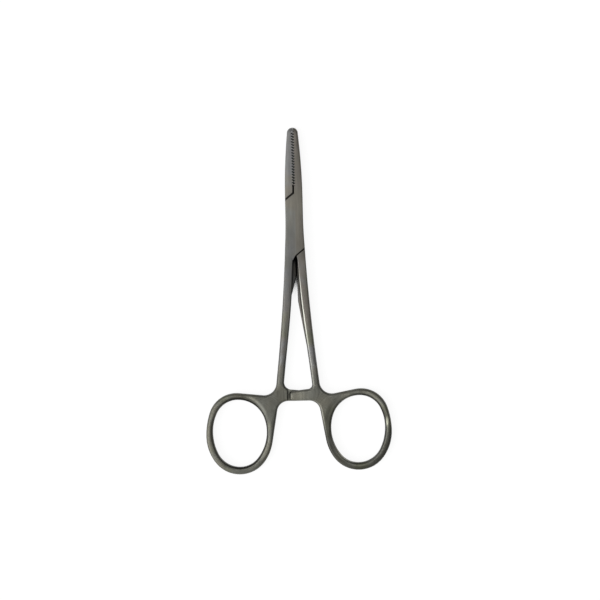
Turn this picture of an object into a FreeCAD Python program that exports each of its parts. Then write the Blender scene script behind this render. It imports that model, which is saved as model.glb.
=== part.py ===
import FreeCAD
import Part
import math
import os

# Hemostatic forceps in millimetres: two forged halves cross in a box lock and turn on one flush rivet.
# The forceps lies flat. X runs across it, Y runs to the jaw tips and Z is up.
# The pivot axis is X = Y = 0, and the underside of the box lock is Z = 0.
# The female half has the right jaw, both cheeks of the box lock, and the left shank and ring.
# The male half has the left jaw, the tongue in the slot, and the right shank and ring.

# Box lock
BOX_THICKNESS = 5.0
BOX_HALF_WIDTH = 3.55
BOX_EDGE_RADIUS = 0.45
SLOT_HEIGHT = 1.9
TONGUE_CLEARANCE = 0.05
TONGUE_RECESS = 0.05
STOP_CLEARANCE = 0.05
SEAM_CLEARANCE = 0.1
OPENING_DEG = 60.0

# The slanted shoulders at both ends of the box lock
SHOULDER_Y = 12.7
SHOULDER_X = 0.17
SHOULDER_DEG = 39.0
TOP_SHOULDER_GAP = 0.8
LOW_SHOULDER_GAP = 0.6
CROTCH_NOTCH = 0.5
CROTCH_FACET = 1.6

# Rivet
PIN_RADIUS = 1.2
PIN_HEAD_RADIUS = 1.55
PIN_HEAD_DEPTH = 0.4
PIN_RUNNING_CLEARANCE = 0.03

# Jaws
JAW_LENGTH = 26.45
JAW_EDGE_RADIUS = 0.95
JAW_TAPER_POWER = 1.95
JAW_TAPER_LEAD = 1.7
TIP_RADIUS = 2.2
TIP_HALF_THICKNESS = 1.45
TIP_SIDE_RADIUS = 1.05
TOOTH_PITCH = 1.1
TOOTH_DEPTH = 0.7
TOOTH_OFFSET = 0.26
TOOTHLESS_HEEL = 3.2
TOOTHLESS_TIP = 0.9
JAW_NOSE_GAP = 0.06
JAW_GAP_TIP = 0.42
JAW_GAP_BOX = 0.72

# Shanks
SHANK_SLOPE = 0.038
SHANK_BEND = 0.000675
SHANK_ROOT_WIDTH = 3.3
SHANK_MIDDLE_WIDTH = 3.42
SHANK_END_WIDTH = 3.05
HANDLE_THICKNESS = 3.6
HANDLE_EDGE_RADIUS = 1.1

# Thin webs between the shank roots
WEB_THICKNESS = 1.8
WEB_EDGE_RADIUS = 0.5
WEB_X = 0.42
WEB_GAP = 0.1
WEB_CORNER_RADIUS = 6.0
FEMALE_WEB_STRAIGHT = 8.0
FEMALE_WEB_LENGTH = 15.8
MALE_WEB_STRAIGHT = 18.0
MALE_WEB_LENGTH = 38.0
MALE_WEB_LEAN = 0.3

# Ratchet arms
RATCHET_Y = -69.1
ARM_HEIGHT = 3.9
ARM_REACH = 3.45
ARM_TOP_SLOPE = 0.1
ARM_END_RADIUS = 1.3
ARM_END_GAP = 1.15
RATCHET_PITCH = 1.25
RATCHET_TEETH = 3
RATCHET_DEPTH = 0.45
RATCHET_LAND = 0.12
RATCHET_GAP = 0.1

# Hubs and finger rings
HUB_LENGTH = 12.1
RING_X = 23.88
RING_DROP = 13.55
RING_STAGGER = 0.81
FINGER_HALF_WIDTH = 10.88
FINGER_TOP = 12.95
FINGER_BOTTOM = 14.2
FINGER_TOP_SHIFT = 0.7
BAND_SIDE = 2.57
BAND_TOP = 2.66
BAND_BOTTOM = 2.95
BAND_SHIFT_OUT = 0.1
BAND_SHIFT_DOWN = 1.54
BAND_TOP_SHIFT = 0.57
FEMALE_TOP_LINE_SLOPE = 0.11
MALE_TOP_LINE_SLOPE = 0.185
SIDE_LINE_SLOPE = 0.17
TOP_FILLET = 5.0
UNDER_ARM_FILLET = 4.5
FEMALE_CROTCH_FILLET = 3.0
MALE_CROTCH_FILLET = 1.8

# How full the quarters of each ring's oval are: upper outer, upper inner, lower inner, lower outer.
# A true ellipse is near 0.8, and a fuller quarter has a longer side and a tighter corner.
FINGER_FULLNESS = (1.3, 2.3, 0.7, 1.3)
BAND_FULLNESS = (1.75, 0.85, 0.9, 0.85)

# The largest share of a wall that the rounding of one edge may take
ROUNDING_SHARE = 0.47

# Two lengths closer than this are the same
SMALL = 0.001

# Rounded edges are ground in three narrow facets, so each turns by a quarter of a right angle
FACET_TURN = math.radians(90 / 4)

# Worked out from the sizes above
MID_Z = BOX_THICKNESS / 2
TONGUE_HALF_WIDTH = BOX_HALF_WIDTH - TONGUE_RECESS
TAPER_START_Y = SHOULDER_Y - JAW_TAPER_LEAD
TIP_Y = SHOULDER_Y + JAW_LENGTH
TEETH_START_Y = SHOULDER_Y + TOOTHLESS_HEEL
TEETH_COUNT = int((JAW_LENGTH - TOOTHLESS_HEEL - TOOTHLESS_TIP) / TOOTH_PITCH)
ROOT_Y = -SHOULDER_Y - CROTCH_FACET
ARM_TOP_Y = RATCHET_Y + ARM_HEIGHT / 2
ARM_BOTTOM_Y = RATCHET_Y - ARM_HEIGHT / 2
HUB_Y = RATCHET_Y + HUB_LENGTH
SHOULDER_SLOPE = math.tan(math.radians(SHOULDER_DEG))
TOP_HALF_GAP_Y = TOP_SHOULDER_GAP / 2 / math.cos(math.radians(SHOULDER_DEG))
LOW_HALF_GAP_Y = LOW_SHOULDER_GAP / 2 / math.cos(math.radians(SHOULDER_DEG))
SIDE_X = 2 * BOX_HALF_WIDTH
EDGE_RADIUS = min(
    HANDLE_EDGE_RADIUS,
    ROUNDING_SHARE * HANDLE_THICKNESS,
    ROUNDING_SHARE * BAND_TOP,
    ROUNDING_SHARE * BAND_BOTTOM,
    ROUNDING_SHARE * (BAND_SIDE - BAND_SHIFT_OUT),
    ARM_END_RADIUS,
)


def point(x, y, z=0.0):
    return FreeCAD.Vector(x, y, z)


def prism(outline, low_z, high_z):
    """A straight-walled block over a closed outline of (x, y) points."""
    corners = [point(x, y, low_z) for x, y in outline]
    face = Part.Face(Part.makePolygon(corners + corners[:1]))
    return face.extrude(point(0, 0, high_z - low_z))


def half_turned(outline):
    """The same outline turned by half a turn about the pivot."""
    return [(-x, -y) for x, y in outline]


def rounded_path(stops):
    """Edges along (x, y, radius) stops, with an arc at each inner stop."""
    edges = []
    here = point(stops[0][0], stops[0][1])
    for before, stop, after in zip(stops, stops[1:], stops[2:]):
        corner = point(stop[0], stop[1])
        radius = stop[2]
        back = (point(before[0], before[1]) - corner).normalize()
        ahead = (point(after[0], after[1]) - corner).normalize()
        half_angle = back.getAngle(ahead) / 2
        start = corner + back * (radius / math.tan(half_angle))
        end = corner + ahead * (radius / math.tan(half_angle))
        middle = corner + (back + ahead).normalize() * (radius / math.sin(half_angle) - radius)
        edges.append(Part.LineSegment(here, start).toShape())
        edges.append(Part.Arc(start, middle, end).toShape())
        here = end
    edges.append(Part.LineSegment(here, point(stops[-1][0], stops[-1][1])).toShape())
    return edges


def facet_setbacks(radius):
    """How far from a square corner the middle facet and the two outer facets of its rounding start."""
    middle = radius * (2 - math.sqrt(2))
    outer = radius * (1 - math.tan(FACET_TURN / 2))
    return middle, outer


def rounded_section(y, left, right, half_thickness, radius):
    """A closed rectangle with rounded corners across the bar at y, about the middle plane."""
    middle, outer = facet_setbacks(radius)
    step = (outer - middle) / math.sqrt(2)
    corner = [(0, outer), (step, middle - step), (middle - step, step), (outer, 0)]
    points = []
    for x_side, z_side in ((-1, -1), (1, -1), (1, 1), (-1, 1)):
        edge_x = right if x_side > 0 else left
        edge_z = MID_Z + z_side * half_thickness
        run = corner if x_side == z_side else reversed(corner)
        points += [point(edge_x - x_side * inset, y, edge_z - z_side * drop) for inset, drop in run]
    return Part.makePolygon(points + points[:1])


def round_rims(solid, radius, joined_y):
    """Round the rims of a flat plate, apart from the end at joined_y where it runs into its neighbour."""
    middle, outer = facet_setbacks(radius)
    for size in (middle, outer - middle):
        rims = [edge for edge in solid.Edges if is_rim(edge, joined_y)]
        solid = solid.makeChamfer(size, rims)
    return solid


def is_rim(edge, joined_y):
    box = edge.BoundBox
    return box.ZLength < SMALL and max(abs(box.YMin - joined_y), abs(box.YMax - joined_y)) > SMALL


def crossing(first, first_slope, second, second_slope):
    """Where two straight lines cross, each given by a point and its slope."""
    rise = second[1] - first[1] + first_slope * first[0] - second_slope * second[0]
    x = rise / (first_slope - second_slope)
    return x, first[1] + first_slope * (x - first[0])


def shank_outer(y):
    """Distance of the outer edge from the centre line, below the pivot."""
    return BOX_HALF_WIDTH - SHANK_SLOPE * y + SHANK_BEND * y * y


def top_shoulder(x, side):
    """The slanted end of the box lock by the left jaw: side is 1 for the jaw and -1 for the cheek."""
    return SHOULDER_Y + SHOULDER_SLOPE * (x + SHOULDER_X) + side * TOP_HALF_GAP_Y


def low_shoulder(x, side):
    """The slanted end of the box lock by the right shank: side is 1 for the cheek and -1 for the shank."""
    return SHOULDER_SLOPE * (x - SHOULDER_X) - SHOULDER_Y + side * LOW_HALF_GAP_Y


def box_body():
    """The box lock block that both halves are cut from."""
    stations = [(y, shank_outer(y)) for y in (ROOT_Y, 0.5 * ROOT_Y, 0.15 * ROOT_Y)]
    stations += [(0.5 * TAPER_START_Y, BOX_HALF_WIDTH), (TAPER_START_Y, BOX_HALF_WIDTH)]
    sections = [rounded_section(y, -w, w, BOX_THICKNESS / 2, BOX_EDGE_RADIUS) for y, w in stations]
    return Part.makeLoft(sections, True, False)


def jaw_body():
    """The closed pair of jaws as one tapering bar."""
    tip_start = TIP_Y - TIP_RADIUS
    sections = []
    for share in (0.0, 0.12, 0.35, 0.65, 1.0):
        y = TAPER_START_Y + (tip_start - TAPER_START_Y) * share
        half_width = BOX_HALF_WIDTH + (TIP_RADIUS - BOX_HALF_WIDTH) * share**JAW_TAPER_POWER
        half_thickness = BOX_THICKNESS / 2 + (TIP_HALF_THICKNESS - BOX_THICKNESS / 2) * share
        radius = BOX_EDGE_RADIUS + (JAW_EDGE_RADIUS - BOX_EDGE_RADIUS) * share
        sections.append(rounded_section(y, -half_width, half_width, half_thickness, radius))
    return Part.makeLoft(sections, True, False)


def tip_body():
    """The blunt round end of the closed jaws."""
    sections = []
    for degrees in (0, 20, 38, 54, 68, 79):
        angle = math.radians(degrees)
        y = TIP_Y - TIP_RADIUS * (1 - math.sin(angle))
        half_width = TIP_RADIUS * math.cos(angle)
        half_thickness = TIP_HALF_THICKNESS - TIP_SIDE_RADIUS * (1 - math.cos(angle))
        radius = JAW_EDGE_RADIUS * math.cos(angle)
        sections.append(rounded_section(y, -half_width, half_width, half_thickness, radius))
    return Part.makeLoft(sections, True, False)


def jaw_seam(side):
    """Points down one biting face, from past the tip to the box lock: side is 1 for the right jaw."""
    teeth_length = TEETH_COUNT * TOOTH_PITCH
    start_y = TEETH_START_Y + side * TOOTH_OFFSET / 2
    nose_x = side * JAW_NOSE_GAP / 2
    nose_y = TEETH_START_Y + teeth_length + (TOOTH_OFFSET + TOOTH_PITCH / 2) / 2
    points = [(nose_x, TIP_Y + TOOTH_PITCH), (nose_x, nose_y)]
    for step in reversed(range(2 * TEETH_COUNT + 1)):
        along = step * TOOTH_PITCH / 2
        gap = JAW_GAP_BOX + (JAW_GAP_TIP - JAW_GAP_BOX) * along / teeth_length
        wave = TOOTH_DEPTH / 2 if step % 2 else -TOOTH_DEPTH / 2
        points.append((side * gap / 2 + wave, start_y + along))
    heel_x = side * JAW_GAP_BOX / 2 - SHOULDER_X
    points.append((heel_x, start_y - TOOTH_PITCH / 4))
    points.append((heel_x, top_shoulder(heel_x, -side)))
    return points


def cheek_outline():
    """Plan of the female half above its shank: the right jaw and the cheeks between both shoulders."""
    past_tip = TIP_Y + TOOTH_PITCH
    facet_x = SHANK_ROOT_WIDTH - shank_outer(ROOT_Y)
    outline = [(SIDE_X, past_tip)] + jaw_seam(1)
    outline += [(-SIDE_X, top_shoulder(-SIDE_X, -1)), (-SIDE_X, ROOT_Y), (facet_x, ROOT_Y)]
    outline += [(SHOULDER_X, low_shoulder(SHOULDER_X, 1)), (SIDE_X, low_shoulder(SIDE_X, 1))]
    return outline


def male_jaw_outline():
    """Plan of the left jaw above its shoulder."""
    outline = [(-SIDE_X, TIP_Y + TOOTH_PITCH)] + jaw_seam(-1)
    outline.append((-SIDE_X, top_shoulder(-SIDE_X, 1)))
    return outline


def male_root_outline():
    """Plan of the right shank's root below its shoulder."""
    notch_x = SHOULDER_X + CROTCH_NOTCH
    root_x = shank_outer(ROOT_Y) - SHANK_ROOT_WIDTH
    outline = [(notch_x, low_shoulder(notch_x, -1)), (root_x, ROOT_Y)]
    outline += [(SIDE_X, ROOT_Y), (SIDE_X, low_shoulder(SIDE_X, -1))]
    return outline


def slot_outline():
    """Plan of the slot through the female half. Its two slanted end walls stop the open tongue."""
    stop = math.radians(OPENING_DEG)
    reach = TONGUE_HALF_WIDTH + STOP_CLEARANCE
    seam = SEAM_CLEARANCE / 2
    seam_y = (reach - seam * math.cos(stop)) / math.sin(stop)
    side_y = (reach - SIDE_X * math.cos(stop)) / math.sin(stop)
    end_y = SHOULDER_Y + SEAM_CLEARANCE
    half = [(SIDE_X, side_y), (seam, seam_y), (seam, end_y), (-SIDE_X, end_y)]
    return half + half_turned(half)


def tongue_strip():
    """Plan of the tongue's strip from the pivot to the right shank. The other strip is its half turn."""
    flat_y = -1.3 * TONGUE_HALF_WIDTH
    seam = SEAM_CLEARANCE / 2
    outline = [(seam, 0), (TONGUE_HALF_WIDTH, 0), (TONGUE_HALF_WIDTH, flat_y), (SIDE_X, flat_y)]
    outline += [(SIDE_X, -SHOULDER_Y), (seam, -SHOULDER_Y)]
    return outline


def tongue(body):
    """The male half's middle layer, which passes through the slot and turns on the rivet."""
    low = MID_Z - SLOT_HEIGHT / 2 + TONGUE_CLEARANCE
    high = MID_Z + SLOT_HEIGHT / 2 - TONGUE_CLEARANCE
    disc = Part.makeCylinder(TONGUE_HALF_WIDTH, high - low, point(0, 0, low))
    strips = [prism(tongue_strip(), low, high), prism(half_turned(tongue_strip()), low, high)]
    return body.common(disc.fuse(strips))


def rivet(extra=0.0):
    """The rivet with both swaged heads ground flush, or with its shaft wider by extra."""
    shaft = Part.makeCylinder(PIN_RADIUS + extra, BOX_THICKNESS)
    low_head = Part.makeCone(PIN_HEAD_RADIUS, PIN_RADIUS, PIN_HEAD_DEPTH)
    high_head = Part.makeCone(PIN_RADIUS, PIN_HEAD_RADIUS, PIN_HEAD_DEPTH)
    high_head.translate(point(0, 0, BOX_THICKNESS - PIN_HEAD_DEPTH))
    return shaft.fuse([low_head, high_head]).removeSplitter()


def shank():
    """The right shank from the box lock to the hub, lofted through rounded sections."""
    end_width = SHANK_END_WIDTH
    neck_width = (SHANK_MIDDLE_WIDTH + end_width) / 2
    sections = []
    for share, width, radius_share in (
        (0.0, SHANK_ROOT_WIDTH, 0.0),
        (0.2, SHANK_MIDDLE_WIDTH, 0.35),
        (0.45, SHANK_MIDDLE_WIDTH, 0.75),
        (0.72, neck_width, 1.0),
        (1.0, end_width, 1.0),
    ):
        y = ROOT_Y + (HUB_Y - ROOT_Y) * share
        outer = shank_outer(y)
        thickness = BOX_THICKNESS + (HANDLE_THICKNESS - BOX_THICKNESS) * share
        radius = BOX_EDGE_RADIUS + (EDGE_RADIUS - BOX_EDGE_RADIUS) * radius_share
        sections.append(rounded_section(y, outer - width, outer, thickness / 2, radius))
    return Part.makeLoft(sections, True, False)


def oval_quarter(oval, quarter):
    """Middle, width, height and fullness of one quarter of an oval, counted anticlockwise from the right."""
    x, y, half_width, top, bottom, top_shift, fullness = oval
    shift, height = (top_shift, top) if quarter < 2 else (0, bottom)
    width = half_width - shift if quarter in (0, 3) else half_width + shift
    return point(x + shift, y), width, height, fullness[quarter]


def quarter_arcs(width, height, fullness):
    """Radii of a quarter's side arc and end arc, and the angle in degrees where they meet without a kink."""
    side_radius = height + fullness * (height**2 / width - height)
    rise = 2 * side_radius * width - height**2 - width**2
    end_radius = rise / (2 * (side_radius - height))
    return side_radius, end_radius, math.degrees(math.atan((height - end_radius) / (side_radius - width)))


def facing(degrees):
    return point(math.cos(math.radians(degrees)), math.sin(math.radians(degrees)))


def oval_arc(oval, degrees):
    """Centre and radius of the arc of an oval that faces a direction."""
    middle, width, height, fullness = oval_quarter(oval, int(degrees // 90) % 4)
    side_radius, end_radius, joint = quarter_arcs(width, height, fullness)
    direction = facing(degrees)
    if abs(direction.y) < math.sin(math.radians(joint)):
        return middle + point(math.copysign(1, direction.x) * (width - side_radius), 0), side_radius
    return middle + point(0, math.copysign(1, direction.y) * (height - end_radius)), end_radius


def oval_point(oval, degrees):
    centre, radius = oval_arc(oval, degrees)
    return centre + facing(degrees) * radius


def oval_edges(oval, start, end):
    """The oval's arcs, anticlockwise from one direction to another, at most one and a half turns."""
    joints = []
    for quarter in range(6):
        joint = quarter_arcs(*oval_quarter(oval, quarter % 4)[1:])[2]
        joints += [90 * quarter, 90 * quarter + (90 - joint if quarter % 2 else joint)]
    stations = [start] + [joint for joint in joints if start + SMALL < joint < end - SMALL] + [end]
    edges = []
    for low, high in zip(stations, stations[1:]):
        centre, radius = oval_arc(oval, (low + high) / 2)
        circle = Part.Circle(centre, point(0, 0, 1), radius)
        edges.append(Part.Arc(circle, math.radians(low), math.radians(high)).toShape())
    return edges


def bow_outline(ring_y, top_line_slope, crotch_fillet):
    """Outline of the right ring, its hub and the ratchet arm, without the finger opening."""
    ring = (
        RING_X + BAND_SHIFT_OUT,
        ring_y - BAND_SHIFT_DOWN,
        FINGER_HALF_WIDTH + BAND_SIDE,
        FINGER_TOP + BAND_TOP + BAND_SHIFT_DOWN,
        FINGER_BOTTOM + BAND_BOTTOM - BAND_SHIFT_DOWN,
        FINGER_TOP_SHIFT + BAND_TOP_SHIFT,
        BAND_FULLNESS,
    )
    side_angle = 180 + math.degrees(math.atan(SIDE_LINE_SLOPE))
    top_angle = 450 + math.degrees(math.atan(top_line_slope))
    side = oval_point(ring, side_angle)
    top = oval_point(ring, top_angle)
    outer_x = shank_outer(HUB_Y)
    inner_x = outer_x - SHANK_END_WIDTH
    shank_slope = -1 / (SHANK_SLOPE - 2 * SHANK_BEND * HUB_Y)
    shoulder = crossing((outer_x, HUB_Y), shank_slope, (top.x, top.y), top_line_slope)
    crotch = crossing((inner_x, HUB_Y), shank_slope, (-ARM_REACH, ARM_TOP_Y), ARM_TOP_SLOPE)
    under_arm_x = side.x - SIDE_LINE_SLOPE * (ARM_BOTTOM_Y - side.y)
    inner_stops = [
        (side.x, side.y, 0),
        (under_arm_x, ARM_BOTTOM_Y, UNDER_ARM_FILLET),
        (-ARM_REACH, ARM_BOTTOM_Y, ARM_END_RADIUS),
        (-ARM_REACH, ARM_TOP_Y, ARM_END_RADIUS),
        (crotch[0], crotch[1], crotch_fillet),
        (inner_x, HUB_Y, 0),
    ]
    outer_stops = [(outer_x, HUB_Y, 0), (shoulder[0], shoulder[1], TOP_FILLET), (top.x, top.y, 0)]
    edges = rounded_path(inner_stops)
    edges.append(Part.LineSegment(point(inner_x, HUB_Y), point(outer_x, HUB_Y)).toShape())
    edges += rounded_path(outer_stops)
    edges += oval_edges(ring, side_angle, top_angle)
    return Part.Wire(Part.sortEdges(edges)[0])


def bow(ring_y, top_line_slope, crotch_fillet):
    """The right ring, its hub and the front ratchet arm, as one flat forging with rounded edges."""
    low_z = MID_Z - HANDLE_THICKNESS / 2
    up = point(0, 0, HANDLE_THICKNESS)
    blank = Part.Face(bow_outline(ring_y, top_line_slope, crotch_fillet)).extrude(up)
    finger_oval = (
        RING_X,
        ring_y,
        FINGER_HALF_WIDTH,
        FINGER_TOP,
        FINGER_BOTTOM,
        FINGER_TOP_SHIFT,
        FINGER_FULLNESS,
    )
    finger_wire = Part.Wire(oval_edges(finger_oval, 0, 360))
    blank = blank.cut(Part.Face(finger_wire).extrude(up))
    blank.translate(point(0, 0, low_z))
    blank = round_rims(blank, EDGE_RADIUS, HUB_Y)
    return blank.cut([other_arm_space()] + ratchet_grooves())


def other_arm_space():
    """The back layer beside the hub, where the other half's ratchet arm lies."""
    corner = point(-2 * ARM_REACH, ARM_BOTTOM_Y - ARM_HEIGHT, MID_Z + RATCHET_GAP / 2 - HANDLE_THICKNESS)
    return Part.makeBox(3 * ARM_REACH + ARM_END_GAP, 3 * ARM_HEIGHT, HANDLE_THICKNESS, corner)


def ratchet_grooves():
    """Saw-tooth grooves across the underside of the front ratchet arm."""
    y = ARM_BOTTOM_Y - ARM_HEIGHT
    face_z = MID_Z + RATCHET_GAP / 2
    grooves = []
    for tooth in range(RATCHET_TEETH):
        x = (tooth - RATCHET_TEETH / 2) * RATCHET_PITCH
        ramp_x = x + RATCHET_PITCH - RATCHET_LAND
        corners = [point(x, y, face_z - RATCHET_GAP), point(x, y, face_z + RATCHET_DEPTH)]
        corners += [point(ramp_x, y, face_z), point(ramp_x, y, face_z - RATCHET_GAP)]
        face = Part.Face(Part.makePolygon(corners + corners[:1]))
        grooves.append(face.extrude(point(0, 3 * ARM_HEIGHT, 0)))
    return grooves


def web(stops):
    """A thin plate in the middle plane with rounded edges, over (x, y, radius) stops."""
    edges = rounded_path(stops)
    edges.append(Part.LineSegment(edges[-1].Vertexes[-1].Point, edges[0].Vertexes[0].Point).toShape())
    plate = Part.Face(Part.Wire(edges)).extrude(point(0, 0, WEB_THICKNESS))
    plate.translate(point(0, 0, MID_Z - WEB_THICKNESS / 2))
    return round_rims(plate, min(WEB_EDGE_RADIUS, ROUNDING_SHARE * WEB_THICKNESS), stops[0][1])


def female_web():
    top_y = -SHOULDER_Y - SEAM_CLEARANCE
    edge_x = WEB_X - WEB_GAP / 2
    end_y = top_y - FEMALE_WEB_LENGTH
    end_x = SHANK_MIDDLE_WIDTH - shank_outer(end_y)
    hidden_x = end_x - SHANK_MIDDLE_WIDTH / 2
    stops = [
        (hidden_x, top_y, 0),
        (edge_x, top_y, WEB_EDGE_RADIUS),
        (edge_x, top_y - FEMALE_WEB_STRAIGHT, WEB_CORNER_RADIUS),
        (end_x, end_y, WEB_EDGE_RADIUS),
        (hidden_x, end_y, 0),
    ]
    return web(stops)


def male_web():
    top_y = -SHOULDER_Y - SEAM_CLEARANCE
    edge_x = WEB_X + WEB_GAP / 2
    end_y = top_y - MALE_WEB_LENGTH
    end_x = shank_outer(end_y) - SHANK_END_WIDTH
    hidden_x = end_x + SHANK_MIDDLE_WIDTH / 2
    stops = [
        (SHANK_MIDDLE_WIDTH, top_y, 0),
        (edge_x, top_y, WEB_EDGE_RADIUS),
        (edge_x + MALE_WEB_LEAN, top_y - MALE_WEB_STRAIGHT, WEB_CORNER_RADIUS),
        (end_x, end_y, WEB_EDGE_RADIUS),
        (hidden_x, end_y, 0),
    ]
    return web(stops)


def turned_over(shape):
    """A right-hand handle piece turned over about the centre line, as the female half has it."""
    copy = shape.copy()
    copy.rotate(point(0, 0, MID_Z), point(0, 1, 0), 180)
    return copy


def female_half(body):
    """Right jaw, slotted box lock, left shank, back ratchet arm and left ring."""
    cheeks = body.common(prism(cheek_outline(), 0, BOX_THICKNESS))
    slot = prism(slot_outline(), MID_Z - SLOT_HEIGHT / 2, MID_Z + SLOT_HEIGHT / 2)
    cheeks = cheeks.cut([slot, rivet()])
    ring_y = RATCHET_Y - RING_DROP - RING_STAGGER / 2
    ring = bow(ring_y, FEMALE_TOP_LINE_SLOPE, FEMALE_CROTCH_FILLET)
    handle = [turned_over(shank()), turned_over(ring), female_web()]
    return cheeks.fuse(handle).removeSplitter()


def male_half(body):
    """Left jaw, tongue, right shank, front ratchet arm and right ring."""
    jaw = body.common(prism(male_jaw_outline(), 0, BOX_THICKNESS))
    root = body.common(prism(male_root_outline(), 0, BOX_THICKNESS))
    ring_y = RATCHET_Y - RING_DROP + RING_STAGGER / 2
    handle = [shank(), bow(ring_y, MALE_TOP_LINE_SLOPE, MALE_CROTCH_FILLET), male_web()]
    whole = jaw.fuse([root, tongue(body)] + handle)
    return whole.cut(rivet(PIN_RUNNING_CLEARANCE)).removeSplitter()


def main():
    body = box_body().fuse([jaw_body(), tip_body()])
    pieces = {
        "female_half": female_half(body),
        "male_half": male_half(body),
        "pivot_pin": rivet(),
    }
    os.makedirs("parts", exist_ok=True)
    for name, shape in pieces.items():
        shape.exportStep("parts/" + name + ".step")


main()
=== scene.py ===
import bpy
import math
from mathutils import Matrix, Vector


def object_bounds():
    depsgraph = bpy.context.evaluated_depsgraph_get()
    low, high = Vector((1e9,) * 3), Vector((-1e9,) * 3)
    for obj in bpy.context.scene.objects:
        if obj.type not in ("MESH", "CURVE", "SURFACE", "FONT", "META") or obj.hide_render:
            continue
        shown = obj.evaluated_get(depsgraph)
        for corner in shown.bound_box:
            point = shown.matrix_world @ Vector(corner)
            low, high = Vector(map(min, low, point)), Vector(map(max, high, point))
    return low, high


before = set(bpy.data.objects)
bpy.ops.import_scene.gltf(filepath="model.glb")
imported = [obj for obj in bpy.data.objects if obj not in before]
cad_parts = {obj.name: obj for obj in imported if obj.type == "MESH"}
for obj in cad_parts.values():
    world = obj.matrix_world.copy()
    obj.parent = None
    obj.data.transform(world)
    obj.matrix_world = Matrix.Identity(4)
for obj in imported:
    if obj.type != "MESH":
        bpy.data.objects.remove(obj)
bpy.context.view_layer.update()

# Lengths are in metres. A pair of places or of slants is a soft step: where it starts and where it is full.
# A pair of shades, shares or strengths holds the two ends of such a step.

# The photo: 600 pixels square, taken from straight above, with the forceps rolled a little
PHOTO_PIXELS = 600
PIVOT_PIXEL = (294.4, 224.7)
METRES_PER_PIXEL = 0.00040369
ROLL = math.radians(1.3)
LENS_MM = 110
SENSOR_MM = 36

# Places along the forceps: the crotch below the box lock, the hubs, the handles and the bows of the rings
CROTCH_Y = -0.0135
CROTCH_BLEND = 0.001
HUB_Y = -0.057
HANDLE_Y = (-0.05, -0.066)
BOW_Y = (-0.064, -0.068)

# The finger rings: their centres, the middle line of their steel, and where the brushing follows round it
LEFT_RING = (-0.02388, -0.083055)
RIGHT_RING = (0.02388, -0.082245)
RING_RADIUS = 0.0135
ROUND_BRUSH_REACH = (0.021, 0.0165)
ROUND_BRUSH_Y = (-0.064, -0.072)

# The finger openings are ovals, a little longer below the middle than above it
OPENING_HALF_WIDTH = 0.01088
OPENING_TOP = 0.01295
OPENING_LOW = 0.0142
OPENING_RADIUS = 0.0125

# The middle line of each shank, as a distance from the centre line that bends outward down the shank
SHANK_START = 0.0019
SHANK_SLOPE = 0.038
SHANK_BEND = 0.675

# The gentle crown of each part, whose height falls by this times the square of the distance from the middle
CROWN_BOX = 4
CROWN_LEFT_JAW = 18
CROWN_RIGHT_JAW = 6
CROWN_SHANK = 2
CROWN_JAW_Y = (0.008, 0.018)
CROWN_SHANK_Y = (CROTCH_Y + CROTCH_BLEND, CROTCH_Y - CROTCH_BLEND)
CROWN_HUB_Y = (HUB_Y - 0.004, HUB_Y + 0.006)

# Painted highlights: a bright line along the inner edge of the right shank, above the web, and a faint one
# along the left shank
SHANK_EDGE_Z = (0.0036, 0.0038)
BRIGHT_EDGE_TOP_Y = (-0.0165, -0.027)
BRIGHT_EDGE_LOW_Y = (-0.053, -0.039)
BRIGHT_EDGE_SHARES = (0.15, 0.8)
BRIGHT_EDGE_LEAN = (-0.1, -0.3)
BRIGHT_EDGE_UPRIGHT = (0.5, 0.75)
BRIGHT_EDGE_POLISH = 0.1
RIDGE_TOP_Y = (-0.02, -0.027)
RIDGE_LOW_Y = (-0.056, -0.05)
RIDGE_SHARES = (0.0, 0.5)
RIDGE_LEAN = (0.1, 0.3)
RIDGE_UPRIGHT = (0.72, 0.86)

# Painted shade on the walls of the finger openings: dark unless they face right, where they are painted
# light, and less dark low in the right ring
WALL_TURN = (0.05, 0.45)
WALL_FAR = (0.003, 0.002)
WALL_LEAN = (0.05, 0.45)
WALL_SHADES = (0.32, 1.25)
LOW_RIGHT_OUT_Y = (-0.1, -0.6)
LOW_RIGHT_SHADE = 1.9

# Directions outward from a ring's centre: the light place at the top of the right ring, which the painted
# shade leaves out, and the shoulders, which get a painted highlight
LIT_TOP_OUT_X = -0.2
SHOULDER_OUT_Y = 0.8
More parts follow.
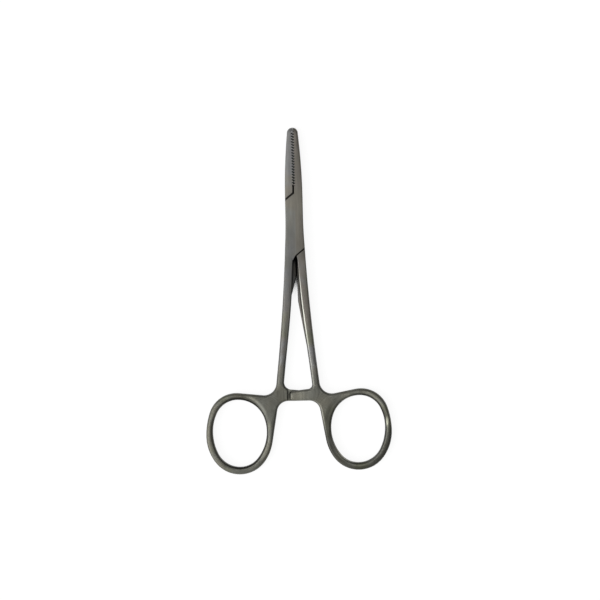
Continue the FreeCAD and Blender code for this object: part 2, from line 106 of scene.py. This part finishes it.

# Painted shade and painted highlights on zones of the rings and hubs: the shade of each, the part it lies on,
# and soft steps in the ring measures
RING_ZONES = {
    "inner edge of the left ring": {
        "shade": 0.74, "part": "left bow", "steps": [("out_x", (0.5, -0.1)), ("far", (0.002, 0.0008))]},
    "upper inner edge of the right ring": {
        "shade": 0.74, "part": "right bow",
        "steps": [("out_y", (-0.2, 0.3)), ("off_lit_top", (0.1, 0.4)), ("far", (0.002, 0.0008))]},
    "inner edge at the top of the left ring": {
        "shade": 0.6, "part": "left bow", "steps": [("out_y", (0.7, 0.95)), ("far", (0.0016, 0.001))]},
    "left side of the right ring": {
        "shade": 0.66, "part": "right bow", "steps": [("out_x", (-0.45, -0.85)), ("far", (0.0042, 0.003))]},
    "outer slope of the right ring's lower half": {
        "shade": 0.5, "part": "right bow", "steps": [("out_y", (0.2, -0.25)), ("far", (0.0009, 0.0016))]},
    "inner edge above and below the glint": {
        "shade": 0.74, "part": "right bow",
        "steps": [("out_x", (0.5, 0.75)), ("off_middle", (0.1, 0.35)), ("far", (0.0017, 0.0012))]},
    "crest on the right of the left ring": {
        "shade": 1.5, "part": "left bow",
        "steps": [("out_x", (0.5, 0.8)), ("out_y", (0.4, 0.1)), ("far", (0.0028, 0.0018))]},
    "upper right shoulder of each ring": {
        "shade": 1.6, "part": "bow",
        "steps": [("off_shoulder", (0.3, 0.1)), ("out_x", (0.05, 0.3)), ("far", (0.0008, 0.0014)),
                  ("far", (0.0026, 0.0018))]},
    "left hub": {
        "shade": 0.82, "part": "left",
        "steps": [("out_x", (0.2, 0.5)), ("far", (0.0016, 0.0022)), ("across", (0.002, 0.0026)),
                  ("y", (-0.056, -0.062))]},
    "right hub": {
        "shade": 0.82, "part": "right",
        "steps": [("far", (0.0016, 0.0022)), ("across", (0.002, 0.0026)), ("y", (-0.056, -0.062))]},
    "lower edge of the ratchet arms": {
        "shade": 1.3, "part": "all", "steps": [("across", (0.006, 0.0045)), ("y", (-0.062, -0.064))]},
    "whole left ring": {"shade": 0.86, "part": "left bow", "steps": []},
}

# The painted glint on the right ring: its middle, how narrow it is, its reach and its shade
GLINT = (0.03557, -0.08, 0)
GLINT_SQUEEZE = (3.5, 1.0, 0.0)
GLINT_REACH = (0.0028, 0.0006)
GLINT_SHADE = 3.5

# The jaw teeth: where they start, how many, their pitch, and how far each side is shifted along the jaw
TEETH_START_Y = 0.0159
TEETH_COUNT = 20
TOOTH_PITCH = 0.0011
TOOTH_SHIFT = 0.00013
TEETH_END_Y = TEETH_START_Y + TEETH_COUNT * TOOTH_PITCH
TEETH_LOW_Y = (TEETH_START_Y - 0.0006, TEETH_START_Y)
TEETH_TOP_Y = (TEETH_END_Y, TEETH_END_Y - 0.001)
# Painted highlights at the tooth tips and painted shade between them: how far across, how near the tip, and
# their shades
TOOTH_MARK_X = (0.00075, 0.00045)
TOOTH_TIP = (0.0, 0.9)
TOOTH_SHADES = (0.06, 1.8)

# The thin webs at the crotch, which lie below the top of the shanks, and their painted shade, near black at
# the box lock and lighter down the shanks
WEB_TOP_Z = 0.00345
WEB_DARK_Y = (-0.0142, -0.0162)
WEB_DARK_SHADES = (0.03, 0.4)
WEB_LIGHT_Y = (-0.016, -0.027)
WEB_LIGHT_SHADES = (1.0, 1.9)

# Painted light on the step of the back ratchet arm
BACK_ARM_TOP_Y = -0.06
BACK_ARM_HALF_WIDTH = 0.004
BACK_ARM_UPRIGHT = (0.8, 0.95)
BACK_ARM_SHADE = 1.9

# Painted shade by slant: facets are painted darker as they turn from the top, and upright walls lighter again
FACET_UPRIGHT = (0.74, 0.34)
FACET_SHADES = (1.0, 0.2)
UPRIGHT_WALL = (0.26, 0.1)
UPRIGHT_WALL_SHADE = 0.7

# Painted light and shade along the forceps, from the jaws to the shanks and on to the handles
JAW_SHADE_Y = (-0.012, 0.012)
JAW_SHADE = 1.13
LEFT_SHANK_SHADE = 0.8
RIGHT_SHANK_SHADE = 0.9
HANDLE_SHADE_Y = (-0.05, -0.06)
LEFT_HANDLE_SHADE = 1.18
RIGHT_HANDLE_SHADE = 1.06

# Steel, as linear colours
STEEL_GREY = (0.232, 0.232, 0.23)
STEEL_WARM = (0.238, 0.22, 0.194)
STEEL_OLIVE = (0.204, 0.206, 0.16)
# The colour of the painted highlights along the shank edges
EDGE_HIGHLIGHT_COLOUR = (0.7, 0.7, 0.63)

# Where the warm and the olive cast lie: patches, the right of the jaws and box lock, and the handles
PATCH_SCALE = 95
WARM_PATCHES = (0.42, 0.66)
WARM_JAW_X = (0.0, 0.0008)
WARM_JAW_Y = (-0.016, -0.008)
OLIVE_PATCH_SCALE = 70
OLIVE_PATCH_OFFSET = (0.31, 0.17, 0.05)
OLIVE_PATCHES = (0.44, 0.62)
OLIVE_Y = (-0.008, -0.022)
OLIVE_SHARES = (0.3, 1.0)
OLIVE_HANDLE_SHARES = (0.0, 0.6)

# The brush marks and the grain: how many to the metre, across and along the brushing, and how strong
BROAD_MARKS = (900, 45)
FINE_MARKS = (5200, 240)
FINE_SHARE = 0.4
GRAIN_SCALE = 5200
NOISE_RANGE = (0.3, 0.7)
PATCH_RANGE = (0.35, 0.65)
MARK_STRENGTHS = (0.16, 0.3)
GRAIN_SHADES = (0.95, 1.05)
MARK_ROUGHNESS = (0.3, 0.42)
PATCH_ROUGHNESS = (-0.02, 0.04)

# The relief of the marks and grain, and of the slight waves that hand grinding leaves
FINE_RELIEF = 0.35
GRAIN_RELIEF = 0.12
MARK_BUMP = 0.35
MARK_DEPTH = 0.00002
WAVE_SCALE = 260
WAVE_STRETCH = (1.0, 0.35, 1.0)
WAVE_BUMP = 0.6
WAVE_DEPTH = 0.0002

# Painted shade in crevices: how far away something shades a crevice, and how open a place has to be to count
# as fully lit
CREVICE_REACH = 0.003
CREVICE_SAMPLES = 8
CREVICE_OPEN = (0.0, 0.92)
CREVICE_POWER = 1.5

# Smooth shading: corners closer than this are joined, and turns gentler than this angle are smooth
JOIN_DISTANCE = 0.0000005
SMOOTH_ANGLE = math.radians(35)
FACE_WEIGHT = 80

# The floor: its size and colour, and its painted shadow: how open it has to be to show white, and the painted
# shadow past the jaw tips
FLOOR_HALF_SIZE = 2.0
FLOOR_COLOUR = (0.8, 0.8, 0.8, 1)
SLOT_REACH = 0.004
SLOT_SAMPLES = 16
SLOT_OPEN = (0.16, 0.34)
SHADOW_GREYS = (0.0, 0.22)
GLOW_STRENGTHS = (0.0, 0.89)
JAW_TIP_Y = (0.031, 0.036)
JAW_TIP_SHADES = (0.0, 0.18)

# Light: the world's strength along +X, +Y and +Z, round a middle value
WORLD_MIDDLE = 0.44
WORLD_SLOPE = (-0.4, -0.2, 0.08)
WORLD_LEAST = 0.14
LAMP_TARGET = (0, -0.03, 0)
WHITE = (1, 1, 1, 1)


class Tree:
    """A node tree with short ways to add and join nodes."""

    def __init__(self, tree):
        self.nodes = tree.nodes
        self.links = tree.links
        self.nodes.clear()

    def add(self, kind, values=None, **settings):
        node = self.nodes.new(kind)
        for name, value in settings.items():
            setattr(node, name, value)
        for name, value in (values or {}).items():
            self.put(node.inputs[name], value)
        return node

    def put(self, socket, value):
        if isinstance(value, bpy.types.NodeSocket):
            self.links.new(value, socket)
        else:
            socket.default_value = value

    def math(self, operation, first, second=0.0):
        node = self.add("ShaderNodeMath", {0: first, 1: second}, operation=operation)
        return node.outputs[0]

    def times(self, *factors):
        product = factors[0]
        for factor in factors[1:]:
            product = self.math("MULTIPLY", product, factor)
        return product

    def vector(self, operation, first, second=(0, 0, 0)):
        node = self.add("ShaderNodeVectorMath", {0: first, 1: second}, operation=operation)
        return node.outputs["Value" if operation in ("LENGTH", "DOT_PRODUCT") else "Vector"]

    def ramp(self, value, edges, ends=(0.0, 1.0), smooth=True):
        """A step from the first end to the second, as the value goes from the first edge to the second."""
        kind = "SMOOTHSTEP" if smooth else "LINEAR"
        values = {"Value": value, "From Min": edges[0], "From Max": edges[1],
                  "To Min": ends[0], "To Max": ends[1]}
        return self.add("ShaderNodeMapRange", values, interpolation_type=kind).outputs["Result"]

    def mix(self, share, first, second):
        node = self.add("ShaderNodeMix", {"Factor": share, "A": first, "B": second}, data_type="FLOAT")
        return node.outputs["Result"]

    def mix_vector(self, share, first, second):
        node = self.add("ShaderNodeMix", {0: share, 4: first, 5: second}, data_type="VECTOR")
        return node.outputs[1]

    def mix_colour(self, share, first, second):
        node = self.add("ShaderNodeMix", {0: share}, data_type="RGBA")
        self.put(node.inputs[6], first if isinstance(first, bpy.types.NodeSocket) else (*first, 1))
        self.put(node.inputs[7], second if isinstance(second, bpy.types.NodeSocket) else (*second, 1))
        return node.outputs[2]

    def join(self, x, y, z=0.0):
        return self.add("ShaderNodeCombineXYZ", {0: x, 1: y, 2: z}).outputs[0]

    def split(self, vector):
        return list(self.add("ShaderNodeSeparateXYZ", {0: vector}).outputs)

    def scale_colour(self, colour, factor):
        return self.vector("MULTIPLY", colour, self.join(factor, factor, factor))

    def noise(self, vector, scale, detail, roughness):
        values = {"Vector": vector, "Scale": scale, "Detail": detail, "Roughness": roughness}
        return self.add("ShaderNodeTexNoise", values).outputs["Fac"]

    def streaks(self, vector, marks, roughness):
        """Noise that is fine across the brushing and long along it."""
        across, along = marks
        stretched = self.vector("MULTIPLY", vector, (across, along, across))
        return self.noise(stretched, scale=1.0, detail=3.0, roughness=roughness)

    def bump(self, height, strength, distance, **below):
        """A relief. The relief below it may be given as Normal."""
        values = {"Strength": strength, "Distance": distance, "Height": height, **below}
        return self.add("ShaderNodeBump", values).outputs[0]

    def openness(self, reach, samples):
        """How open a place is: 1 where nothing lies near it, less in a crevice."""
        return self.add("ShaderNodeAmbientOcclusion", {"Distance": reach}, samples=samples).outputs["AO"]


class Spot:
    """A spot on the steel: its place, the half it lies on, and the way it faces."""

    def __init__(self, tree):
        seen = tree.add("ShaderNodeTexCoord").outputs
        self.place = seen["Object"]
        self.x, self.y, self.z = tree.split(self.place)
        self.across = tree.math("ABSOLUTE", self.x)
        self.right = tree.math("GREATER_THAN", self.x, 0.0)
        self.left = tree.math("SUBTRACT", 1.0, self.right)
        self.normal = seen["Normal"]
        facing = tree.split(self.normal)
        self.lean_x = facing[0]
        self.upright = tree.math("ABSOLUTE", facing[2])


class RingSpot:
    """A spot as seen from its finger ring: the way outward, and how far it is from the opening's edge."""

    def __init__(self, tree, spot):
        from_x = tree.math("SUBTRACT", spot.x, tree.mix(spot.right, LEFT_RING[0], RIGHT_RING[0]))
        from_y = tree.math("SUBTRACT", spot.y, tree.mix(spot.right, LEFT_RING[1], RIGHT_RING[1]))
        flat = tree.join(from_x, from_y)
        self.reach = tree.vector("LENGTH", flat)
        self.turn = tree.math("ARCTAN2", from_y, tree.math("ABSOLUTE", from_x))
        self.outward = tree.vector("NORMALIZE", flat)
        self.out_x, self.out_y = tree.split(self.outward)[:2]
        self.bow = tree.ramp(spot.y, BOW_Y)

        half_height = tree.mix(tree.math("GREATER_THAN", from_y, 0.0), OPENING_LOW, OPENING_TOP)
        oval = tree.join(tree.math("DIVIDE", from_x, OPENING_HALF_WIDTH),
                         tree.math("DIVIDE", from_y, half_height))
        past_edge = tree.math("SUBTRACT", tree.vector("LENGTH", oval), 1.0)
        self.far = tree.times(past_edge, OPENING_RADIUS)


def brushing_coordinates(tree, spot, ring):
    """Coordinates across, along and through the brushing, which runs along the shanks and round the rings."""
    round_ring = tree.join(ring.reach, tree.times(ring.turn, RING_RADIUS), spot.z)
    in_ring = tree.times(tree.ramp(ring.reach, ROUND_BRUSH_REACH), tree.ramp(spot.y, ROUND_BRUSH_Y))
    return tree.mix_vector(in_ring, spot.place, round_ring)


def crown_height(tree, spot):
    """Height of the gentle crown that grinding leaves across the jaws, the box lock and each shank."""
    middle = tree.math("ADD", tree.times(spot.y, -SHANK_SLOPE), tree.times(spot.y, spot.y, SHANK_BEND))
    off_middle = tree.math("SUBTRACT", spot.across, tree.math("ADD", middle, SHANK_START))
    jaw = tree.mix(spot.right, -CROWN_LEFT_JAW, -CROWN_RIGHT_JAW)
    box = tree.times(spot.x, spot.x, tree.mix(tree.ramp(spot.y, CROWN_JAW_Y), -CROWN_BOX, jaw))
    shank = tree.times(off_middle, off_middle, -CROWN_SHANK, tree.ramp(spot.y, CROWN_HUB_Y))
    return tree.mix(tree.ramp(spot.y, CROWN_SHANK_Y), box, shank)


def painted_edge_highlight(tree, spot):
    """Share of the painted highlight on the side of the right shank that leans to the other shank."""
    along = tree.times(tree.ramp(spot.y, BRIGHT_EDGE_LOW_Y, BRIGHT_EDGE_SHARES),
                       tree.ramp(spot.y, BRIGHT_EDGE_TOP_Y))
    leaning = tree.times(tree.ramp(spot.lean_x, BRIGHT_EDGE_LEAN),
                         tree.ramp(spot.upright, BRIGHT_EDGE_UPRIGHT))
    return tree.times(spot.right, along, tree.ramp(spot.z, SHANK_EDGE_Z), leaning)


def painted_ridge_highlight(tree, spot):
    """Share of the faint painted highlight along the inner edge of the left shank."""
    along = tree.times(tree.ramp(spot.y, RIDGE_LOW_Y), tree.ramp(spot.y, RIDGE_TOP_Y))
    leaning = tree.times(tree.ramp(spot.lean_x, RIDGE_LEAN),
                         tree.ramp(spot.upright, RIDGE_UPRIGHT, RIDGE_SHARES))
    return tree.times(spot.left, along, tree.ramp(spot.z, SHANK_EDGE_Z), leaning)


def opening_wall_painted_shade(tree, spot, ring):
    """Painted shade of the openings' walls: dark unless they face right, where they are painted light, and
    less dark low in the right ring.
    """
    turn_in = tree.times(tree.vector("DOT_PRODUCT", ring.outward, spot.normal), -1.0)
    wall = tree.times(tree.ramp(turn_in, WALL_TURN), tree.ramp(ring.far, WALL_FAR), ring.bow)
    low_right = tree.times(spot.right, tree.ramp(ring.out_y, LOW_RIGHT_OUT_Y))
    shade = tree.times(tree.ramp(spot.lean_x, WALL_LEAN, WALL_SHADES),
                       tree.mix(low_right, 1.0, LOW_RIGHT_SHADE))
    return tree.mix(wall, 1.0, shade)


def ring_painted_light_and_shade(tree, spot, ring):
    """Painted shade and painted highlights on the finger rings and the hubs, zone by zone."""
    parts = {
        "all": 1.0,
        "left": spot.left,
        "right": spot.right,
        "bow": ring.bow,
        "left bow": tree.times(spot.left, ring.bow),
        "right bow": tree.times(spot.right, ring.bow),
    }
    measures = {
        "across": spot.across,
        "y": spot.y,
        "far": ring.far,
        "out_x": ring.out_x,
        "out_y": ring.out_y,
        "off_middle": tree.math("ABSOLUTE", ring.out_y),
        "off_lit_top": tree.math("ABSOLUTE", tree.math("SUBTRACT", ring.out_x, LIT_TOP_OUT_X)),
        "off_shoulder": tree.math("ABSOLUTE", tree.math("SUBTRACT", ring.out_y, SHOULDER_OUT_Y)),
    }
    tone = opening_wall_painted_shade(tree, spot, ring)
    for zone in RING_ZONES.values():
        share = parts[zone["part"]]
        for measure, edges in zone["steps"]:
            share = tree.times(share, tree.ramp(measures[measure], edges))
        tone = tree.times(tone, tree.mix(share, 1.0, zone["shade"]))
    return tone


def painted_glint(tree, spot):
    """A long painted glint on the right side of the right ring."""
    apart = tree.vector("MULTIPLY", tree.vector("SUBTRACT", spot.place, GLINT), GLINT_SQUEEZE)
    return tree.mix(tree.ramp(tree.vector("LENGTH", apart), GLINT_REACH), 1.0, GLINT_SHADE)


def tooth_painted_light_and_shade(tree, spot):
    """A painted highlight at the tip of each jaw tooth, and painted shade in the groove beside it."""
    tip_y = tree.mix(spot.right, TEETH_START_Y - TOOTH_SHIFT + TOOTH_PITCH / 2, TEETH_START_Y + TOOTH_SHIFT)
    turn = tree.times(tree.math("SUBTRACT", spot.y, tip_y), 2 * math.pi / TOOTH_PITCH)
    near = tree.times(tree.ramp(spot.across, TOOTH_MARK_X), tree.ramp(spot.y, TEETH_LOW_Y),
                      tree.ramp(spot.y, TEETH_TOP_Y))
    return tree.mix(near, 1.0, tree.ramp(tree.math("COSINE", turn), TOOTH_TIP, TOOTH_SHADES))


def web_painted_shade_and_light(tree, spot):
    """Painted shade of the webs in the crotch: near black at the box lock, and painted lighter down the
    shanks.
    """
    web = tree.times(tree.math("LESS_THAN", spot.z, WEB_TOP_Z),
                     tree.math("LESS_THAN", spot.y, CROTCH_Y + CROTCH_BLEND),
                     tree.math("GREATER_THAN", spot.y, HUB_Y))
    shade = tree.times(tree.ramp(spot.y, WEB_DARK_Y, WEB_DARK_SHADES, smooth=False),
                       tree.ramp(spot.y, WEB_LIGHT_Y, WEB_LIGHT_SHADES, smooth=False))
    return tree.mix(web, 1.0, shade)


def back_arm_painted_light(tree, spot):
    """Painted light on the step of the back ratchet arm that shows beside the end of the front arm."""
    step = tree.times(tree.math("LESS_THAN", spot.z, WEB_TOP_Z),
                      tree.math("LESS_THAN", spot.y, BACK_ARM_TOP_Y),
                      tree.math("LESS_THAN", spot.across, BACK_ARM_HALF_WIDTH),
                      tree.ramp(spot.upright, BACK_ARM_UPRIGHT))
    return tree.mix(step, 1.0, BACK_ARM_SHADE)


def crevice_painted_shade(tree):
    """Painted shade: narrow crevices are painted dark, however they are lit."""
    open_share = tree.ramp(tree.openness(CREVICE_REACH, CREVICE_SAMPLES), CREVICE_OPEN, smooth=False)
    return tree.math("POWER", open_share, CREVICE_POWER)


def slant_painted_shade(tree, spot):
    """Painted shade: ground facets are painted darker the more they turn from the top, and upright walls
    lighter again.
    """
    facet = tree.ramp(spot.upright, FACET_UPRIGHT, FACET_SHADES)
    return tree.mix(tree.ramp(spot.upright, UPRIGHT_WALL), facet, UPRIGHT_WALL_SHADE)


def length_painted_light_and_shade(tree, spot):
    """Painted light and shade: the jaws are painted lighter than the shanks, and the handles lighter again.
    """
    shank = tree.mix(spot.right, LEFT_SHANK_SHADE, RIGHT_SHANK_SHADE)
    handle = tree.mix(spot.right, LEFT_HANDLE_SHADE, RIGHT_HANDLE_SHADE)
    return tree.times(tree.ramp(spot.y, JAW_SHADE_Y, (shank, JAW_SHADE)),
                      tree.ramp(spot.y, HANDLE_SHADE_Y, (1.0, handle)))


def brush_tone(tree, spot, streak, grain):
    """Light and dark of the brush marks, which are stronger on the handles, and of the grain."""
    strength = tree.ramp(spot.y, HANDLE_Y, MARK_STRENGTHS)
    marks = tree.times(strength, tree.ramp(streak, NOISE_RANGE, (-1.0, 1.0), smooth=False))
    grains = tree.ramp(grain, NOISE_RANGE, GRAIN_SHADES, smooth=False)
    return tree.times(tree.math("ADD", 1.0, marks), grains)


def steel_colour(tree, spot, patches):
    """Grey steel, warm in patches and on the right of the jaws, and olive in patches and on the handles."""
    right_jaw = tree.times(tree.ramp(spot.x, WARM_JAW_X), tree.ramp(spot.y, WARM_JAW_Y))
    warm = tree.math("MAXIMUM", tree.ramp(patches, WARM_PATCHES), right_jaw)
    olive_place = tree.vector("ADD", spot.place, OLIVE_PATCH_OFFSET)
    olive_patches = tree.noise(olive_place, OLIVE_PATCH_SCALE, detail=2.0, roughness=0.5)
    olive = tree.times(tree.ramp(olive_patches, OLIVE_PATCHES), tree.ramp(spot.y, OLIVE_Y, OLIVE_SHARES))
    olive = tree.math("MAXIMUM", olive, tree.ramp(spot.y, HANDLE_Y, OLIVE_HANDLE_SHARES))
    return tree.mix_colour(olive, tree.mix_colour(warm, STEEL_GREY, STEEL_WARM), STEEL_OLIVE)


def ground_relief(tree, spot, fine, grain):
    """The relief of the ground surface: brush marks and grain, waves of hand grinding, and the crown."""
    mark_height = tree.math("ADD", tree.times(fine, FINE_RELIEF), tree.times(grain, GRAIN_RELIEF))
    marks = tree.bump(mark_height, MARK_BUMP, MARK_DEPTH)
    wave_place = tree.vector("MULTIPLY", spot.place, WAVE_STRETCH)
    wave_height = tree.noise(wave_place, WAVE_SCALE, detail=1.0, roughness=0.4)
    waves = tree.bump(wave_height, WAVE_BUMP, WAVE_DEPTH, Normal=marks)
    return tree.bump(crown_height(tree, spot), strength=1.0, distance=1.0, Normal=waves)


def satin_steel(name):
    """Ground stainless steel: long brush marks, a fine grain, and a faint warm and olive cast in patches."""
    material = bpy.data.materials.new(name)
    material.use_nodes = True
    tree = Tree(material.node_tree)
    spot = Spot(tree)
    ring = RingSpot(tree, spot)

    brushed = brushing_coordinates(tree, spot, ring)
    broad = tree.streaks(brushed, BROAD_MARKS, roughness=0.55)
    fine = tree.streaks(brushed, FINE_MARKS, roughness=0.65)
    streak = tree.mix(FINE_SHARE, broad, fine)
    grain = tree.noise(spot.place, GRAIN_SCALE, detail=2.0, roughness=0.6)
    patches = tree.noise(spot.place, PATCH_SCALE, detail=2.0, roughness=0.55)
    # Painted highlights along the inner edges of the shanks, which are also made less rough
    bright = tree.math("MAXIMUM", painted_edge_highlight(tree, spot), painted_ridge_highlight(tree, spot))

    colour = tree.scale_colour(steel_colour(tree, spot, patches), brush_tone(tree, spot, streak, grain))
    colour = tree.mix_colour(bright, colour, EDGE_HIGHLIGHT_COLOUR)
    # Painted light and shade, multiplied into the colour
    shade = tree.times(crevice_painted_shade(tree), slant_painted_shade(tree, spot), ring_painted_light_and_shade(tree, spot, ring),
                       painted_glint(tree, spot), web_painted_shade_and_light(tree, spot), tooth_painted_light_and_shade(tree, spot),
                       length_painted_light_and_shade(tree, spot), back_arm_painted_light(tree, spot))
    roughness = tree.math("ADD", tree.ramp(streak, NOISE_RANGE, MARK_ROUGHNESS, smooth=False),
                          tree.ramp(patches, PATCH_RANGE, PATCH_ROUGHNESS, smooth=False))
    roughness = tree.math("SUBTRACT", roughness, tree.times(bright, BRIGHT_EDGE_POLISH))
    steel = tree.add("ShaderNodeBsdfPrincipled", {
        "Base Color": tree.scale_colour(colour, shade), "Metallic": 1.0, "Roughness": roughness,
        "Normal": ground_relief(tree, spot, fine, grain)})
    tree.add("ShaderNodeOutputMaterial", {"Surface": steel.outputs[0]})
    return material


def rounding_nodes():
    """A modifier's node group: joined corners, and smooth shading over gentle turns."""
    group = bpy.data.node_groups.new("joined_and_smooth", "GeometryNodeTree")
    group.interface.new_socket("Geometry", in_out="INPUT", socket_type="NodeSocketGeometry")
    group.interface.new_socket("Geometry", in_out="OUTPUT", socket_type="NodeSocketGeometry")
    nodes, links = group.nodes, group.links
    start = nodes.new("NodeGroupInput")
    end = nodes.new("NodeGroupOutput")
    joined = nodes.new("GeometryNodeMergeByDistance")
    joined.inputs["Distance"].default_value = JOIN_DISTANCE
    faces = nodes.new("GeometryNodeSetShadeSmooth")
    faces.domain = "FACE"
    edges = nodes.new("GeometryNodeSetShadeSmooth")
    edges.domain = "EDGE"
    angle = nodes.new("GeometryNodeInputMeshEdgeAngle")
    gentle = nodes.new("FunctionNodeCompare")
    gentle.operation = "LESS_THAN"
    gentle.inputs[1].default_value = SMOOTH_ANGLE
    links.new(start.outputs[0], joined.inputs["Geometry"])
    links.new(joined.outputs[0], faces.inputs["Geometry"])
    links.new(faces.outputs[0], edges.inputs["Geometry"])
    links.new(angle.outputs["Unsigned Angle"], gentle.inputs[0])
    links.new(gentle.outputs[0], edges.inputs["Shade Smooth"])
    links.new(edges.outputs[0], end.inputs[0])
    return group


def shade_rounded(piece, group):
    piece.modifiers.new("joined", "NODES").node_group = group
    weighted = piece.modifiers.new("weighted", "WEIGHTED_NORMAL")
    weighted.keep_sharp = True
    weighted.weight = FACE_WEIGHT


def floor_white():
    """Plain white to the camera, with a soft shadow, and a painted shadow where only a narrow slit lies above
    and past the jaw tips.
    """
    material = bpy.data.materials.new("floor_white")
    material.use_nodes = True
    tree = Tree(material.node_tree)
    path = tree.add("ShaderNodeLightPath").outputs
    seen = tree.math("MAXIMUM", path["Is Camera Ray"], path["Is Glossy Ray"])
    seen = tree.math("MAXIMUM", seen, path["Is Transmission Ray"])
    y = tree.split(tree.add("ShaderNodeTexCoord").outputs["Object"])[1]
    # Painted shadow: the floor's grey and glow fade where it is closed in, as under a narrow slit, and it
    # counts as less open past the jaw tips
    open_above = tree.openness(SLOT_REACH, SLOT_SAMPLES)
    open_above = tree.math("SUBTRACT", open_above, tree.ramp(y, JAW_TIP_Y, JAW_TIP_SHADES))
    grey = tree.ramp(open_above, SLOT_OPEN, SHADOW_GREYS)
    shadowed = tree.add("ShaderNodeBsdfDiffuse", {"Color": tree.join(grey, grey, grey)})
    strength = tree.ramp(open_above, SLOT_OPEN, GLOW_STRENGTHS)
    glow = tree.add("ShaderNodeEmission", {"Color": WHITE, "Strength": strength})
    white = tree.add("ShaderNodeAddShader", {0: shadowed.outputs[0], 1: glow.outputs[0]})
    plain = tree.add("ShaderNodeBsdfDiffuse", {"Color": FLOOR_COLOUR})
    mixed = tree.add("ShaderNodeMixShader", {0: seen, 1: plain.outputs[0], 2: white.outputs[0]})
    tree.add("ShaderNodeOutputMaterial", {"Surface": mixed.outputs[0]})
    return material


def make_floor(low_z):
    """A large square floor that the forceps lies on."""
    signs = ((-1, -1), (1, -1), (1, 1), (-1, 1))
    corners = [(x * FLOOR_HALF_SIZE, y * FLOOR_HALF_SIZE, low_z) for x, y in signs]
    mesh = bpy.data.meshes.new("floor")
    mesh.from_pydata(corners, [], [(0, 1, 2, 3)])
    mesh.materials.append(floor_white())
    floor = bpy.data.objects.new("floor", mesh)
    bpy.context.scene.collection.objects.link(floor)


def make_world():
    """Soft light from all round, stronger from the left and the near side. The background is white."""
    world = bpy.data.worlds.new("studio")
    bpy.context.scene.world = world
    world.use_nodes = True
    tree = Tree(world.node_tree)
    direction = tree.add("ShaderNodeTexCoord").outputs["Generated"]
    lean = tree.vector("DOT_PRODUCT", direction, WORLD_SLOPE)
    strength = tree.math("MAXIMUM", tree.math("ADD", lean, WORLD_MIDDLE), WORLD_LEAST)
    soft = tree.add("ShaderNodeBackground", {"Color": WHITE, "Strength": strength})
    white = tree.add("ShaderNodeBackground", {"Color": WHITE, "Strength": 1.0})
    seen = tree.add("ShaderNodeLightPath").outputs["Is Camera Ray"]
    mixed = tree.add("ShaderNodeMixShader", {0: seen, 1: soft.outputs[0], 2: white.outputs[0]})
    tree.add("ShaderNodeOutputWorld", {"Surface": mixed.outputs[0]})


def make_lamp(name, place, width, height, power):
    lamp = bpy.data.lights.new(name, "AREA")
    lamp.shape = "RECTANGLE"
    lamp.size = width
    lamp.size_y = height
    lamp.energy = power
    holder = bpy.data.objects.new(name, lamp)
    holder.location = place
    holder.rotation_euler = (Vector(LAMP_TARGET) - Vector(place)).to_track_quat("-Z", "Y").to_euler()
    bpy.context.scene.collection.objects.link(holder)


def make_camera(plane_z):
    """Looks straight down, so that the pivot and the roll fall where the photo has them."""
    camera_data = bpy.data.cameras.new("camera")
    camera_data.type = "PERSP"
    camera_data.lens = LENS_MM
    camera_data.sensor_width = SENSOR_MM
    field = PHOTO_PIXELS * METRES_PER_PIXEL
    right = (PHOTO_PIXELS / 2 - PIVOT_PIXEL[0]) * METRES_PER_PIXEL
    up = (PIVOT_PIXEL[1] - PHOTO_PIXELS / 2) * METRES_PER_PIXEL
    x = right * math.cos(ROLL) + up * math.sin(ROLL)
    y = up * math.cos(ROLL) - right * math.sin(ROLL)
    camera = bpy.data.objects.new("camera", camera_data)
    camera.location = (x, y, plane_z + field * LENS_MM / SENSOR_MM)
    camera.rotation_euler = (0, 0, -ROLL)
    bpy.context.scene.collection.objects.link(camera)
    bpy.context.scene.camera = camera


steel = satin_steel("satin_steel")
group = rounding_nodes()
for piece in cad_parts.values():
    piece.data.materials.clear()
    piece.data.materials.append(steel)
    shade_rounded(piece, group)

low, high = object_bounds()
make_floor(low.z)
make_world()
make_lamp("key_lamp", place=(-0.75, -0.35, 0.55), width=0.6, height=0.8, power=1.5)
make_lamp("left_lamp", place=(-0.42, -0.12, 0.85), width=0.3, height=0.7, power=1.2)
make_camera((low.z + high.z) / 2)
bpy.context.scene.view_settings.view_transform = "Standard"
